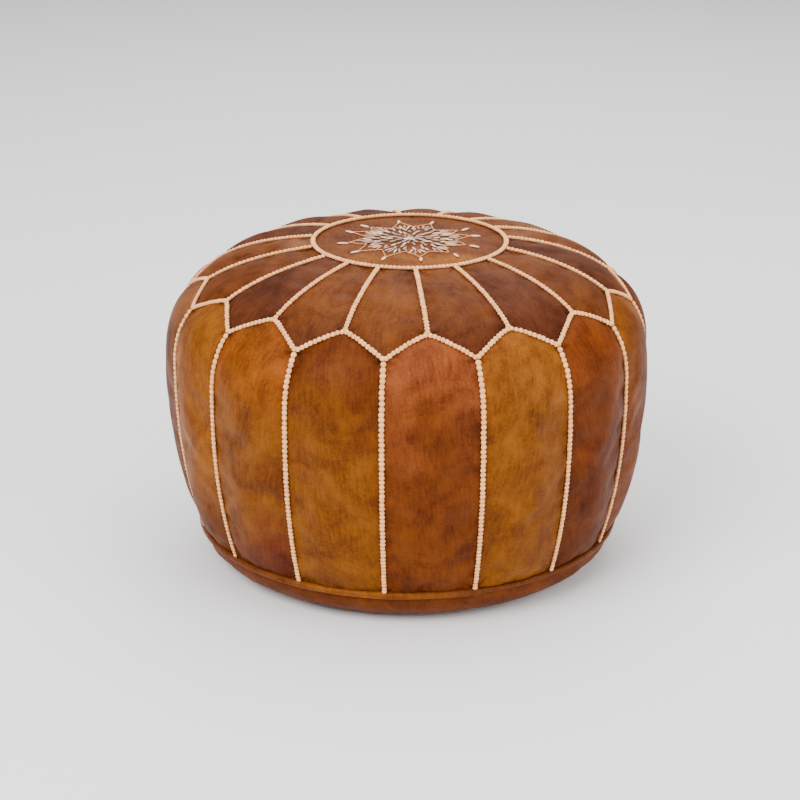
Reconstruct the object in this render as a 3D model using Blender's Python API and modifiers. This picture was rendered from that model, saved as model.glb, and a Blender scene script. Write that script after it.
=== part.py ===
"""Moroccan leather pouf: a stuffed sixteen-panel cover with stitched seams, a welted base and a zip."""

import math

import bmesh
import bpy
import numpy
from mathutils import Vector

# Driving dimensions, in metres and degrees. +Z is up, the floor is z = 0, the front faces -Y.
SEAM_RADIUS = 0.2470        # widest radius of the seam lines; the panels swell past it
WIDEST_HEIGHT = 0.222
CROWN_RISE = 0.1175         # from the widest height up to the crown
CROWN_POWER = 2.6           # squareness of the upper shoulder
BELLY_DROP = 0.367
BELLY_POWER = 2.2
PANEL_COUNT = 16
SIDE_SEAM_AZIMUTH = -5.7    # first side seam, turned from the front towards +X
RING_RADIUS = 0.100         # seam round the medallion
APEX_RADIUS = 0.2098        # top of each side panel, where a radial seam ends
VALLEY_RADIUS = 0.2303      # tip of each top petal, where a side seam starts
ARCH_POWER = 1.3            # roundness of the arch that tops a side panel
WELT_HEIGHT = 0.037
LEATHER = 0.0020
PUFF = 0.0044               # how far a panel's middle swells past the seam lines
SEAM_SINK = 0.0034          # how far a panel's edge sinks under the seam braid
EDGE_GAP = 0.0005           # from a panel's edge to the seam line
PUFF_REACH = 0.014          # distance over which a panel rises out of its seam
BRAID_RADIUS = 0.0027
WELT_PIPE_RADIUS = 0.0040
CLEARANCE = 0.0006

# How far the hand-cut cover strays from an even sixteen-fold pattern.
CROWN_SHIFT = 0.006         # the medallion and the petals sit off centre by this much
CROWN_SHIFT_AZIMUTH = 155.0
CROWN_TWIST = 2.0           # degrees that the medallion is turned against the petal tips
CROWN_SQUEEZE = 3.0         # degrees by which the petals crowd towards two sides at the medallion
FOOT_SPREAD = 2.2           # degrees by which the side seams fan out towards the foot

BASE_FLAT_OUTER = 0.169     # the ring that stands on the floor
BASE_FLAT_INNER = 0.153
BASE_PLATEAU_RADIUS = 0.146
BASE_PLATEAU_HEIGHT = 0.008

ZIP_HALF_LENGTH = 0.134     # the slot in the base that the zip fills
ZIP_SLOT_HALF_WIDTH = 0.008
TAPE_HALF_LENGTH = 0.140
TAPE_WIDTH = 0.0125
TAPE_THICKNESS = 0.0016
TAPE_RISE = 0.0005          # gap from the base leather up to the tape
TOOTH_PITCH = 0.0050
TOOTH_COUNT = 51
TOOTH_ROOT = 0.0028         # from the zip's centre line
TOOTH_TIP = 0.0009

SLIDER_HALF_LENGTH = 0.007
SLIDER_HALF_WIDTH = 0.0045
SLIDER_PLATE = 0.0011
SLIDER_CLEARANCE = 0.0004
SLIDER_REST_X = 0.108
LUG_HALF_LENGTH = 0.0041
LUG_HALF_WIDTH = 0.0008
LUG_DROP = 0.0042
LUG_WALL = 0.0011
PULL_LENGTH = 0.0240
PULL_HALF_WIDTH = 0.0035
PULL_THICKNESS = 0.0012
PULL_EYE_LENGTH = 0.0062
PULL_EYE_HALF_WIDTH = 0.0017
PULL_DROOP = 14.0           # the pull lies this far below level, its tip just above the floor

BAG_SINK = 0.0085           # from the seam surface to the inner bag
BAG_WALL = 0.0010
BAG_MOUTH_RADIUS = 0.045
BAG_FLOOR = 0.0165
FILLING_GAP = 0.0010

PITCH = 360.0 / PANEL_COUNT
PANEL_COLUMNS = 4
PANEL_ROWS = 8
PETAL_ROWS = 4
BRAID_LEG_STEPS = 2
ROUND_STEPS = 48
INSIDE_STEPS = 32

LEATHER_TONES = {
    "rust": (0.30, 0.075, 0.015),
    "umber": (0.20, 0.060, 0.026),
    "honey": (0.42, 0.140, 0.026),
    "tan": (0.36, 0.120, 0.045),
}
SIDE_TONES = (
    "rust", "honey", "rust", "tan", "honey", "rust", "tan", "honey",
    "rust", "honey", "tan", "rust", "tan", "honey", "honey", "honey",
)
PETAL_TONES = (
    "tan", "umber", "umber", "rust", "umber", "umber", "tan", "rust",
    "tan", "umber", "rust", "umber", "tan", "rust", "umber", "tan",
)
CREAM_THREAD = (0.74, 0.52, 0.36)
COTTON = (0.72, 0.68, 0.60)
BRASS = (0.62, 0.42, 0.16)
TAPE_BROWN = (0.11, 0.05, 0.03)


def clear_scene():
    for old in list(bpy.data.objects):
        bpy.data.objects.remove(old, do_unlink=True)


def make_collection(name):
    collection = bpy.data.collections.new(name)
    bpy.context.scene.collection.children.link(collection)
    return collection


def add_object(name, data, collection):
    obj = bpy.data.objects.new(name, data)
    collection.objects.link(obj)
    return obj


def give_material(obj, color, roughness, metallic=0.0):
    material = bpy.data.materials.new(obj.name)
    material.use_nodes = True
    shader = material.node_tree.nodes["Principled BSDF"]
    shader.inputs["Base Color"].default_value = (*color, 1.0)
    shader.inputs["Roughness"].default_value = roughness
    shader.inputs["Metallic"].default_value = metallic
    obj.data.materials.clear()
    obj.data.materials.append(material)


def mesh_from_bmesh(name, shape):
    mesh = bpy.data.meshes.new(name)
    shape.to_mesh(mesh)
    shape.free()
    return mesh


class SeamSurface:
    """The turned surface that the seams lie on, measured by the distance along its outline."""

    def __init__(self):
        turn = numpy.linspace(0.0, math.pi * 0.78, 1500)
        upper = turn <= math.pi / 2
        power = numpy.where(upper, CROWN_POWER, BELLY_POWER)
        depth = numpy.where(upper, CROWN_RISE, BELLY_DROP)
        self.radius = SEAM_RADIUS * numpy.abs(numpy.sin(turn)) ** (2 / power)
        rise = numpy.sign(numpy.cos(turn)) * numpy.abs(numpy.cos(turn)) ** (2 / power)
        self.height = WIDEST_HEIGHT + depth * rise
        steps = numpy.hypot(numpy.diff(self.radius), numpy.diff(self.height))
        self.distance = numpy.concatenate(([0.0], numpy.cumsum(steps)))

    def at_radius(self, radius):
        above = self.height > WIDEST_HEIGHT
        return float(numpy.interp(radius, self.radius[above], self.distance[above]))

    def at_height(self, height):
        return float(numpy.interp(-height, -self.height, self.distance))

    def outline(self, distance, lift=0.0):
        """Radius and height at a distance, lifted along the outward normal."""
        step = 0.0005
        ends = (distance - step, distance + step)
        radii = numpy.interp(ends, self.distance, self.radius)
        heights = numpy.interp(ends, self.distance, self.height)
        run = Vector((radii[1] - radii[0], heights[1] - heights[0])).normalized()
        radius = float(numpy.interp(distance, self.distance, self.radius))
        height = float(numpy.interp(distance, self.distance, self.height))
        return radius - run.y * lift, height + run.x * lift

    def point(self, azimuth, distance, lift=0.0):
        """A place on the hand-cut cover, from its place in the even pattern."""
        valley = self.at_radius(VALLEY_RADIUS)
        ring = self.at_radius(RING_RADIUS)
        welt = self.at_height(WELT_HEIGHT)
        crown = min(max((valley - distance) / (valley - ring), 0.0), 1.0)
        foot = min(max((distance - valley) / (welt - valley), 0.0), 1.0)
        turn = math.radians(azimuth)
        shift = CROWN_SHIFT * math.cos(turn - math.radians(CROWN_SHIFT_AZIMUTH)) * (1 - foot)
        radius, height = self.outline(distance + shift, lift)
        strayed = crown * (CROWN_TWIST - CROWN_SQUEEZE * math.cos(2 * turn))
        turn += math.radians(strayed + foot * FOOT_SPREAD * math.sin(turn))
        return Vector((radius * math.sin(turn), -radius * math.cos(turn), height))


surface = SeamSurface()
ring_distance = surface.at_radius(RING_RADIUS)
apex_distance = surface.at_radius(APEX_RADIUS)
valley_distance = surface.at_radius(VALLEY_RADIUS)
welt_distance = surface.at_height(WELT_HEIGHT)
zigzag_slope = math.atan2(
    valley_distance - apex_distance,
    math.radians(PITCH / 2) * (APEX_RADIUS + VALLEY_RADIUS) / 2,
)


def seam_azimuth(index):
    return SIDE_SEAM_AZIMUTH + PITCH * index


def panel_azimuth(index):
    return seam_azimuth(index) + PITCH / 2


def row_fraction(share):
    """Rows stand closer together near both ends of a panel."""
    eased = share * share * (3 - 2 * share)
    return 0.4 * share + 0.6 * eased


def spread_column(across):
    return math.copysign(abs(across) ** 0.7, across) if across else 0.0


def rise_from_seams(distances):
    """Lift of the leather above the seam surface, from its distances to the seams round it."""
    fullness = 1.0
    for distance in distances:
        fullness *= 1.0 - math.exp(-max(distance, 0.0) / PUFF_REACH)
    return -SEAM_SINK + (SEAM_SINK + PUFF) * fullness


def make_panel(name, middle, rows, top_edge, bottom_edge, collection):
    """A puffed leather panel between two seams, from its top edge down to its bottom edge."""
    shape = bmesh.new()
    bmesh.ops.create_grid(shape, x_segments=PANEL_COLUMNS, y_segments=rows, size=1.0)
    for vertex in shape.verts:
        across = spread_column(vertex.co.x)
        down = row_fraction((1.0 - vertex.co.y) / 2)
        start = top_edge(across)
        end = bottom_edge(across)
        distance = start + (end - start) * down
        radius = surface.outline(distance)[0]
        half_width = radius * math.radians(PITCH / 2)
        azimuth = middle + across * (PITCH / 2) * (1 - EDGE_GAP / half_width)
        lift = rise_from_seams((
            (1 - abs(across)) * half_width,
            (distance - start) * math.cos(zigzag_slope),
            end - distance,
        ))
        vertex.co = surface.point(azimuth, distance, lift)
    panel = add_object(name, mesh_from_bmesh(name, shape), collection)
    panel.data.shade_smooth()
    thickness = panel.modifiers.new("Leather", "SOLIDIFY")
    thickness.thickness = LEATHER
    thickness.offset = -1.0
    return panel


def arch_distance(from_apex):
    """The zigzag seam, from an apex at 0 to the next valley at 1."""
    return apex_distance + (valley_distance - apex_distance) * from_apex ** ARCH_POWER


def petal_outer_edge(across):
    return arch_distance(1 - abs(across)) - EDGE_GAP / math.cos(zigzag_slope)


def side_top_edge(across):
    return arch_distance(abs(across)) + EDGE_GAP / math.cos(zigzag_slope)


def make_cover_panels(collection):
    ring_edge = ring_distance + BRAID_RADIUS + CLEARANCE
    welt_edge = welt_distance - WELT_PIPE_RADIUS - CLEARANCE
    for index in range(PANEL_COUNT):
        number = f"{index + 1:02d}"
        petal = make_panel(
            f"top_petal_{number}", seam_azimuth(index), PETAL_ROWS,
            lambda across: ring_edge, petal_outer_edge, collection,
        )
        give_material(petal, LEATHER_TONES[PETAL_TONES[index]], 0.45)
        side = make_panel(
            f"side_panel_{number}", panel_azimuth(index), PANEL_ROWS,
            side_top_edge, lambda across: welt_edge, collection,
        )
        give_material(side, LEATHER_TONES[SIDE_TONES[index]], 0.45)


def turned_solid(name, outline, collection, steps=ROUND_STEPS):
    """A closed solid of revolution. The outline runs from the axis at the top, down the outside."""
    mesh = bpy.data.meshes.new(name)
    points = [(radius, 0.0, height) for radius, height in outline]
    edges = [(index, index + 1) for index in range(len(points) - 1)]
    mesh.from_pydata(points, edges, [])
    obj = add_object(name, mesh, collection)
    screw = obj.modifiers.new("Turn", "SCREW")
    screw.steps = steps
    screw.render_steps = steps
    screw.use_merge_vertices = True
    screw.merge_threshold = 0.00001
    screw.use_smooth_shade = True
    return obj


def make_medallion(collection):
    flat_radius = 0.064
    edge_radius = RING_RADIUS - BRAID_RADIUS - CLEARANCE
    top = WIDEST_HEIGHT + CROWN_RISE + 0.0010
    edge_height = surface.outline(ring_distance)[1] - 0.0015
    middle_radius = (flat_radius + edge_radius) / 2
    middle_height = top - 0.35 * (top - edge_height)
    outline = (
        (0.0, top),
        (flat_radius, top),
        (middle_radius, middle_height),
        (edge_radius, edge_height),
        (edge_radius, edge_height - LEATHER),
        (middle_radius, middle_height - LEATHER),
        (flat_radius, top - LEATHER),
        (0.0, top - LEATHER),
    )
    medallion = turned_solid("medallion", outline, collection)
    turn = math.radians(CROWN_SHIFT_AZIMUTH)
    medallion.location = (CROWN_SHIFT * math.sin(turn), -CROWN_SHIFT * math.cos(turn), 0.0)
    give_material(medallion, LEATHER_TONES["honey"], 0.45)


def round_braid(name, points, pipe_radius, color, roughness, collection, closed=False):
    curve = bpy.data.curves.new(name, "CURVE")
    curve.dimensions = "3D"
    curve.bevel_depth = pipe_radius
    curve.bevel_resolution = 1
    curve.use_fill_caps = not closed
    spline = curve.splines.new("POLY")
    spline.points.add(len(points) - 1)
    spline.use_cyclic_u = closed
    for place, point in zip(spline.points, points):
        place.co = (*point, 1.0)
    braid = add_object(name, curve, collection)
    give_material(braid, color, roughness)


def make_rings(collection):
    """The braid round the medallion and the leather piping round the foot."""
    turns = [360.0 * step / ROUND_STEPS for step in range(ROUND_STEPS)]
    around_medallion = [surface.point(turn, ring_distance) for turn in turns]
    round_braid(
        "medallion_seam", around_medallion, BRAID_RADIUS, CREAM_THREAD, 0.55, collection, True,
    )
    around_foot = [surface.point(turn, welt_distance) for turn in turns]
    round_braid(
        "base_welt", around_foot, WELT_PIPE_RADIUS, LEATHER_TONES["tan"], 0.45, collection, True,
    )


def make_crown_seam(collection):
    """The radial seams and the zigzag that joins their ends, as one branching braid."""
    shape = bmesh.new()
    valleys = [
        shape.verts.new(surface.point(seam_azimuth(index), valley_distance))
        for index in range(PANEL_COUNT)
    ]
    ring_end = ring_distance + BRAID_RADIUS + CLEARANCE
    for index in range(PANEL_COUNT):
        azimuth = panel_azimuth(index)
        last = None
        for step in range(PETAL_ROWS + 1):
            share = row_fraction(step / PETAL_ROWS)
            distance = ring_end + (apex_distance - ring_end) * share
            point = shape.verts.new(surface.point(azimuth, distance))
            if last:
                shape.edges.new((last, point))
            last = point
        for side in (0, 1):
            previous = last
            for step in range(1, BRAID_LEG_STEPS):
                share = spread_column(step / BRAID_LEG_STEPS)
                turned = azimuth + (side - 0.5) * PITCH * share
                point = shape.verts.new(surface.point(turned, arch_distance(share)))
                shape.edges.new((previous, point))
                previous = point
            shape.edges.new((previous, valleys[(index + side) % PANEL_COUNT]))
    seam = add_object("crown_seam", mesh_from_bmesh("crown_seam", shape), collection)
    seam.modifiers.new("Braid", "SKIN").use_smooth_shade = True
    for index, vertex in enumerate(seam.data.skin_vertices[0].data):
        vertex.radius = (BRAID_RADIUS * 0.82, BRAID_RADIUS * 0.82)
        vertex.use_root = index == 0
    give_material(seam, CREAM_THREAD, 0.55)


def make_side_seams(collection):
    start = valley_distance + 0.0068
    end = welt_distance - WELT_PIPE_RADIUS - CLEARANCE
    for index in range(PANEL_COUNT):
        name = f"side_seam_{index + 1:02d}"
        points = []
        for step in range(PANEL_ROWS + 1):
            distance = start + (end - start) * row_fraction(step / PANEL_ROWS)
            points.append(surface.point(seam_azimuth(index), distance))
        round_braid(name, points, BRAID_RADIUS, CREAM_THREAD, 0.55, collection)


def make_cutter(name, low, high, collection):
    shape = bmesh.new()
    bmesh.ops.create_cube(shape, size=1.0)
    for vertex in shape.verts:
        for axis in range(3):
            middle = (low[axis] + high[axis]) / 2
            vertex.co[axis] = middle + vertex.co[axis] * (high[axis] - low[axis])
    cutter = add_object(name, mesh_from_bmesh(name, shape), collection)
    cutter.hide_render = True
    cutter.display_type = "WIRE"
    return cutter


def base_outline():
    """The base leather from the welt down to the floor ring and up to the raised middle."""
    top_radius, top_height = surface.outline(welt_distance + WELT_PIPE_RADIUS + CLEARANCE)
    steps = 5
    outline = []
    for step in range(steps + 1):
        turn = math.pi / 2 * step / steps
        radius = BASE_FLAT_OUTER + (top_radius - BASE_FLAT_OUTER) * math.cos(turn)
        outline.append((radius, top_height * (1 - math.sin(turn))))
    outline.append((BASE_FLAT_INNER, 0.0))
    outline.append((BASE_PLATEAU_RADIUS, BASE_PLATEAU_HEIGHT))
    outline.append((0.0, BASE_PLATEAU_HEIGHT))
    return outline


def make_base_panels(collection, cutters):
    reach = 0.3
    slot = make_cutter(
        "zip_slot_cutter",
        (-ZIP_HALF_LENGTH, -ZIP_SLOT_HALF_WIDTH, -0.02),
        (ZIP_HALF_LENGTH, ZIP_SLOT_HALF_WIDTH, 0.04),
        cutters,
    )
    for name, side in (("base_panel_front", -1), ("base_panel_back", 1)):
        panel = turned_solid(name, base_outline(), collection)
        thickness = panel.modifiers.new("Leather", "SOLIDIFY")
        thickness.thickness = LEATHER
        thickness.offset = -1.0
        seam = -side * 0.0004
        edges = sorted((-seam, -side * reach))
        half = make_cutter(
            f"{name}_cutter", (-reach, edges[0], -0.05), (reach, edges[1], 0.1), cutters,
        )
        for cutter in (half, slot):
            cut = panel.modifiers.new("Cut", "BOOLEAN")
            cut.operation = "DIFFERENCE"
            cut.object = cutter
        give_material(panel, LEATHER_TONES["umber"], 0.5)


def make_zip_tapes(collection):
    """Each tape is one flat comb: cloth on the outside, teeth on the side of the centre line."""
    floor = BASE_PLATEAU_HEIGHT + LEATHER + TAPE_RISE
    for name, side in (("zip_tape_front", -1), ("zip_tape_back", 1)):
        outline = [
            (-TAPE_HALF_LENGTH, TOOTH_ROOT),
            (-TAPE_HALF_LENGTH, TOOTH_ROOT + TAPE_WIDTH),
            (TAPE_HALF_LENGTH, TOOTH_ROOT + TAPE_WIDTH),
            (TAPE_HALF_LENGTH, TOOTH_ROOT),
        ]
        for index in reversed(range(TOOTH_COUNT)):
            middle = (index - (TOOTH_COUNT - 1) / 2 + side * 0.25) * TOOTH_PITCH
            for along, depth in ((1, TOOTH_ROOT), (1, TOOTH_TIP), (-1, TOOTH_TIP), (-1, TOOTH_ROOT)):
                outline.append((middle + along * TOOTH_PITCH * 0.24, depth))
        curve = bpy.data.curves.new(name, "CURVE")
        curve.dimensions = "2D"
        curve.fill_mode = "BOTH"
        curve.extrude = TAPE_THICKNESS / 2
        spline = curve.splines.new("POLY")
        spline.points.add(len(outline) - 1)
        spline.use_cyclic_u = True
        for point, (along, depth) in zip(spline.points, outline):
            point.co = (along, side * depth, 0.0, 1.0)
        tape = add_object(name, curve, collection)
        tape.location.z = floor + TAPE_THICKNESS / 2
        give_material(tape, TAPE_BROWN, 0.8)


def box_into(shape, low, high):
    corners = bmesh.ops.create_cube(shape, size=1.0)["verts"]
    for vertex in corners:
        for axis in range(3):
            middle = (low[axis] + high[axis]) / 2
            vertex.co[axis] = middle + vertex.co[axis] * (high[axis] - low[axis])


def joined_boxes(name, boxes, collection, cutters):
    """One closed body out of boxes that run into each other."""
    first = bmesh.new()
    box_into(first, *boxes[0])
    body = add_object(name, mesh_from_bmesh(name, first), collection)
    for index, (low, high) in enumerate(boxes[1:]):
        cutter = make_cutter(f"{name}_part_{index + 1}", low, high, cutters)
        cutter.parent = body
        join = body.modifiers.new("Join", "BOOLEAN")
        join.operation = "UNION"
        join.object = cutter
    return body


def make_slider(collection, cutters):
    """Two plates held apart by a bridge, with a lug under them that carries the pull."""
    tape_low = BASE_PLATEAU_HEIGHT + LEATHER + TAPE_RISE
    top_plate = tape_low + TAPE_THICKNESS + SLIDER_CLEARANCE
    bottom_plate = tape_low - SLIDER_CLEARANCE
    length = SLIDER_HALF_LENGTH
    width = SLIDER_HALF_WIDTH
    under = bottom_plate - SLIDER_PLATE
    foot = under - LUG_DROP
    inset = 0.0002
    boxes = [
        ((-length, -width, under), (length, width, bottom_plate)),
        ((-length, -width, top_plate), (length, width, top_plate + SLIDER_PLATE)),
        ((length - 0.0040, -0.0005, bottom_plate - inset), (length - 0.0010, 0.0005, top_plate + inset)),
    ]
    for side in (-1, 1):
        ends = sorted((side * LUG_HALF_LENGTH, side * (LUG_HALF_LENGTH - LUG_WALL)))
        boxes.append((
            (ends[0], -LUG_HALF_WIDTH, foot + inset),
            (ends[1], LUG_HALF_WIDTH, under + inset),
        ))
    boxes.append((
        (-LUG_HALF_LENGTH, -LUG_HALF_WIDTH, foot),
        (LUG_HALF_LENGTH, LUG_HALF_WIDTH, foot + LUG_WALL),
    ))
    slider = joined_boxes("zip_slider", boxes, collection, cutters)
    slider.location.x = SLIDER_REST_X
    give_material(slider, BRASS, 0.35, 1.0)
    hinge_height = (under + foot + LUG_WALL) / 2
    return slider, hinge_height


def make_pull(slider, hinge_height, collection, cutters):
    """A flat tab whose eye hangs on the slider's lug. Its origin is on the hinge line."""
    bar = 0.0007
    half = PULL_THICKNESS / 2
    eye_end = -PULL_EYE_LENGTH
    outer = PULL_EYE_HALF_WIDTH + 0.0010
    boxes = [
        ((-PULL_LENGTH, -PULL_HALF_WIDTH, -half), (eye_end, PULL_HALF_WIDTH, half)),
    ]
    for side in (-1, 1):
        edges = sorted((side * PULL_EYE_HALF_WIDTH, side * outer))
        boxes.append(((eye_end - 0.0005, edges[0], -half * 0.98), (bar, edges[1], half * 0.98)))
    boxes.append(((-bar, -outer + 0.0003, -half * 0.96), (bar * 0.98, outer - 0.0003, half * 0.96)))
    pull = joined_boxes("zip_pull", boxes, collection, cutters)
    pull.parent = slider
    pull.location.z = hinge_height
    pull.rotation_euler.y = math.radians(-PULL_DROOP)
    give_material(pull, BRASS, 0.35, 1.0)


def inner_outline(sink, floor, bottom_radius):
    """The stuffed shape inside the cover, from the axis at the top to its flat underside."""
    outline = [(0.0, WIDEST_HEIGHT + CROWN_RISE - sink)]
    steps = 9
    start = surface.at_radius(0.07)
    for step in range(steps + 1):
        distance = start + (welt_distance - start) * step / steps
        outline.append(surface.outline(distance, -sink))
    corner_radius, corner_height = outline[-1]
    for step in (1, 2, 3):
        turn = math.pi / 2 * step / 3
        radius = bottom_radius + (corner_radius - bottom_radius) * math.cos(turn)
        outline.append((radius, floor + (corner_height - floor) * (1 - math.sin(turn))))
    return outline


def make_inside(collection):
    corner = 0.180
    outer = inner_outline(BAG_SINK, BAG_FLOOR, corner)
    inner = inner_outline(BAG_SINK + BAG_WALL, BAG_FLOOR + BAG_WALL, corner)
    mouth = [(BAG_MOUTH_RADIUS, BAG_FLOOR), (BAG_MOUTH_RADIUS, BAG_FLOOR + BAG_WALL)]
    bag = turned_solid("inner_bag", outer + mouth + inner[::-1], collection, INSIDE_STEPS)
    give_material(bag, COTTON, 0.9)
    gap = BAG_WALL + FILLING_GAP
    core = inner_outline(BAG_SINK + gap, BAG_FLOOR + gap, corner)
    core.append((0.0, BAG_FLOOR + gap))
    filling = turned_solid("filling", core, collection, INSIDE_STEPS)
    give_material(filling, COTTON, 0.95)


def build():
    clear_scene()
    parts = make_collection("moroccan_leather_pouf")
    cutters = make_collection("cutters")
    make_cover_panels(parts)
    make_medallion(parts)
    make_rings(parts)
    make_crown_seam(parts)
    make_side_seams(parts)
    make_base_panels(parts, cutters)
    make_zip_tapes(parts)
    slider, hinge_height = make_slider(parts, cutters)
    make_pull(slider, hinge_height, parts, cutters)
    make_inside(parts)


build()
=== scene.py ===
import math

import bmesh
import bpy
import numpy as np
from mathutils import Matrix, Vector, noise


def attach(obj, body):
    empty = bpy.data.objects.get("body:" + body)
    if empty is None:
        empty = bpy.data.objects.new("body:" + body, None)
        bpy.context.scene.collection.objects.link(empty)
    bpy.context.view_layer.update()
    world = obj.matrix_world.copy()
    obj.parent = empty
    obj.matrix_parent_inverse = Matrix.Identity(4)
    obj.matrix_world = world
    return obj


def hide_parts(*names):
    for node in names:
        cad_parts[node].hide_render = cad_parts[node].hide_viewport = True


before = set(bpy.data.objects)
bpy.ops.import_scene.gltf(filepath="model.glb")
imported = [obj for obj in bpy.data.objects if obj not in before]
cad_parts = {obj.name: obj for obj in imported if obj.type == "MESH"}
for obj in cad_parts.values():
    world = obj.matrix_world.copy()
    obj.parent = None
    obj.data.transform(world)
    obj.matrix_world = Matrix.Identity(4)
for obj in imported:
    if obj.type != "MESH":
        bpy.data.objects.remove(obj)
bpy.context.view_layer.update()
rng = np.random.default_rng(16)
fullTurn = 2 * math.pi

# the camera stands in front of the pouf, looking a little down on it
studio = {
    "aim": (0.0, 0.0, 0.151),
    "distance": 2.2775,
    "elevation": 20.84,  # degrees
    "lens": 96.3,  # millimetres
    "shift": (-0.0096, 0.0103),
    "sky": 0.50,
    "floor": (0.94, 0.935, 0.93),
    "floorSize": 16.0,
    "lights": (  # name, place, size in metres and power in watts
        ("key", (-1.6, -2.1, 2.5), 2.2, 162.0),
        ("fill", (2.3, -1.8, 1.5), 2.4, 82.0),
        ("top", (0.2, 0.4, 2.9), 2.6, 74.0),
        ("back", (0.3, 2.6, 2.3), 2.0, 27.0),
    ),
}

# the seams lie on a turned surface, and every panel is sewn between them
cover = {
    "seamRadius": 0.2470,
    "widestHeight": 0.222,
    "crownRise": 0.1175,
    "crownPower": 2.6,
    "bellyDrop": 0.367,
    "bellyPower": 2.2,
    "panels": 16,
    "firstSeam": -5.7,  # degrees from the front towards +X
    "ringRadius": 0.100,
    "apexRadius": 0.2098,
    "valleyRadius": 0.2303,
    "archPower": 1.3,
    "weltHeight": 0.037,
    "weltPipe": 0.004,
    "crownShift": 0.006,
    "shiftTowards": 155.0,  # degrees
    "crownTwist": 2.0,
    "crownSqueeze": 3.0,
    "footSpread": 2.2,
}
pitch = 360.0 / cover["panels"]


def makeOutline():
    turn = np.linspace(0.0, math.pi * 0.78, 1500)
    upper = turn <= math.pi / 2
    power = np.where(upper, cover["crownPower"], cover["bellyPower"])
    depth = np.where(upper, cover["crownRise"], cover["bellyDrop"])
    radius = cover["seamRadius"] * np.abs(np.sin(turn)) ** (2 / power)
    rise = np.sign(np.cos(turn)) * np.abs(np.cos(turn)) ** (2 / power)
    height = cover["widestHeight"] + depth * rise
    steps = np.hypot(np.diff(radius), np.diff(height))
    return radius, height, np.concatenate(([0.0], np.cumsum(steps)))


outRadius, outHeight, outDistance = makeOutline()
onCrown = outHeight > cover["widestHeight"]


def distanceAtRadius(radius):
    return float(np.interp(radius, outRadius[onCrown], outDistance[onCrown]))


ringAt = distanceAtRadius(cover["ringRadius"])
apexAt = distanceAtRadius(cover["apexRadius"])
valleyAt = distanceAtRadius(cover["valleyRadius"])
weltAt = float(np.interp(-cover["weltHeight"], -outHeight, outDistance))
halfPitch = math.radians(pitch / 2)
zigzagSlope = math.atan2(valleyAt - apexAt, halfPitch * (cover["apexRadius"] + cover["valleyRadius"]) / 2)


def outlineAt(distance, lift=0.0):
    # radius and height at a distance from the crown, lifted off the surface
    ahead, behind = distance + 0.0005, distance - 0.0005
    runR = np.interp(ahead, outDistance, outRadius) - np.interp(behind, outDistance, outRadius)
    runZ = np.interp(ahead, outDistance, outHeight) - np.interp(behind, outDistance, outHeight)
    length = np.hypot(runR, runZ)
    radius = np.interp(distance, outDistance, outRadius) - runZ / length * lift
    return radius, np.interp(distance, outDistance, outHeight) + runR / length * lift


def coverPoint(azimuth, distance, lift=0.0):
    # where the even pattern lies on the hand-cut cover, as rows of x, y, z
    azimuth, distance, lift = np.broadcast_arrays(*np.atleast_1d(azimuth, distance, lift))
    crown = np.clip((valleyAt - distance) / (valleyAt - ringAt), 0.0, 1.0)
    foot = np.clip((distance - valleyAt) / (weltAt - valleyAt), 0.0, 1.0)
    turn = np.radians(azimuth)
    shift = cover["crownShift"] * np.cos(turn - math.radians(cover["shiftTowards"])) * (1 - foot)
    radius, height = outlineAt(distance + shift, lift)
    strayed = crown * (cover["crownTwist"] - cover["crownSqueeze"] * np.cos(2 * turn))
    turn = turn + np.radians(strayed + foot * cover["footSpread"] * np.sin(turn))
    return np.stack((radius * np.sin(turn), -radius * np.cos(turn), height), axis=1)


def outwardAt(azimuth, distance):
    run = coverPoint(azimuth, distance, 0.001) - coverPoint(azimuth, distance, 0.0)
    return run / np.linalg.norm(run, axis=1, keepdims=True)


def archAt(fromApex):
    # distance of the zigzag seam, from an apex at 0 to the next valley at 1
    return apexAt + (valleyAt - apexAt) * np.abs(fromApex) ** cover["archPower"]


def seamAzimuth(index):
    return cover["firstSeam"] + pitch * index


def noiseAt(points, scale, seed=0.0):
    shift = Vector((seed * 7.31, seed * 3.17, seed * 5.93))
    return np.array([noise.noise(Vector(place) * scale + shift) for place in points])


# materials


def addNode(tree, kind, sockets=None, **settings):
    made = tree.nodes.new(kind)
    for name, value in settings.items():
        setattr(made, name, value)
    for name, value in (sockets or {}).items():
        if isinstance(value, bpy.types.NodeSocket):
            tree.links.new(value, made.inputs[name])
        else:
            made.inputs[name].default_value = value
    return made


def calc(operation, first, *others):
    # a sum on a socket, in that socket's own tree
    sockets = dict(enumerate((first, *others)))
    return addNode(first.id_data, "ShaderNodeMath", sockets, operation=operation).outputs[0]


def times(first, second):
    return calc("MULTIPLY", first, second)


def scaled(value, by, plus):
    return calc("MULTIPLY_ADD", value, by, plus)


def fading(distance, reach):
    # 1 at no distance, falling away over the reach
    return calc("EXPONENT", times(distance, -1.0 / reach))


def mixColors(tree, factor, first, second, blend="MIX"):
    sockets = {0: factor, 6: first, 7: second}
    return addNode(tree, "ShaderNodeMix", sockets, data_type="RGBA", blend_type=blend).outputs[2]


def shaded(color, shade):
    # a color made lighter or darker by one number
    tree = color.id_data
    grey = addNode(tree, "ShaderNodeCombineColor", {0: shade, 1: shade, 2: shade}).outputs[0]
    return mixColors(tree, 1.0, color, grey, "MULTIPLY")


def ramp(value, stops):
    made = addNode(value.id_data, "ShaderNodeValToRGB", {0: value})
    bar = made.color_ramp
    while len(bar.elements) > 1:
        bar.elements.remove(bar.elements[-1])
    bar.elements[0].position = stops[0][0]
    bar.elements[0].color = (*stops[0][1], 1.0)
    for place, color in stops[1:]:
        bar.elements.new(place).color = (*color, 1.0)
    return made.outputs[0]


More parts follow.
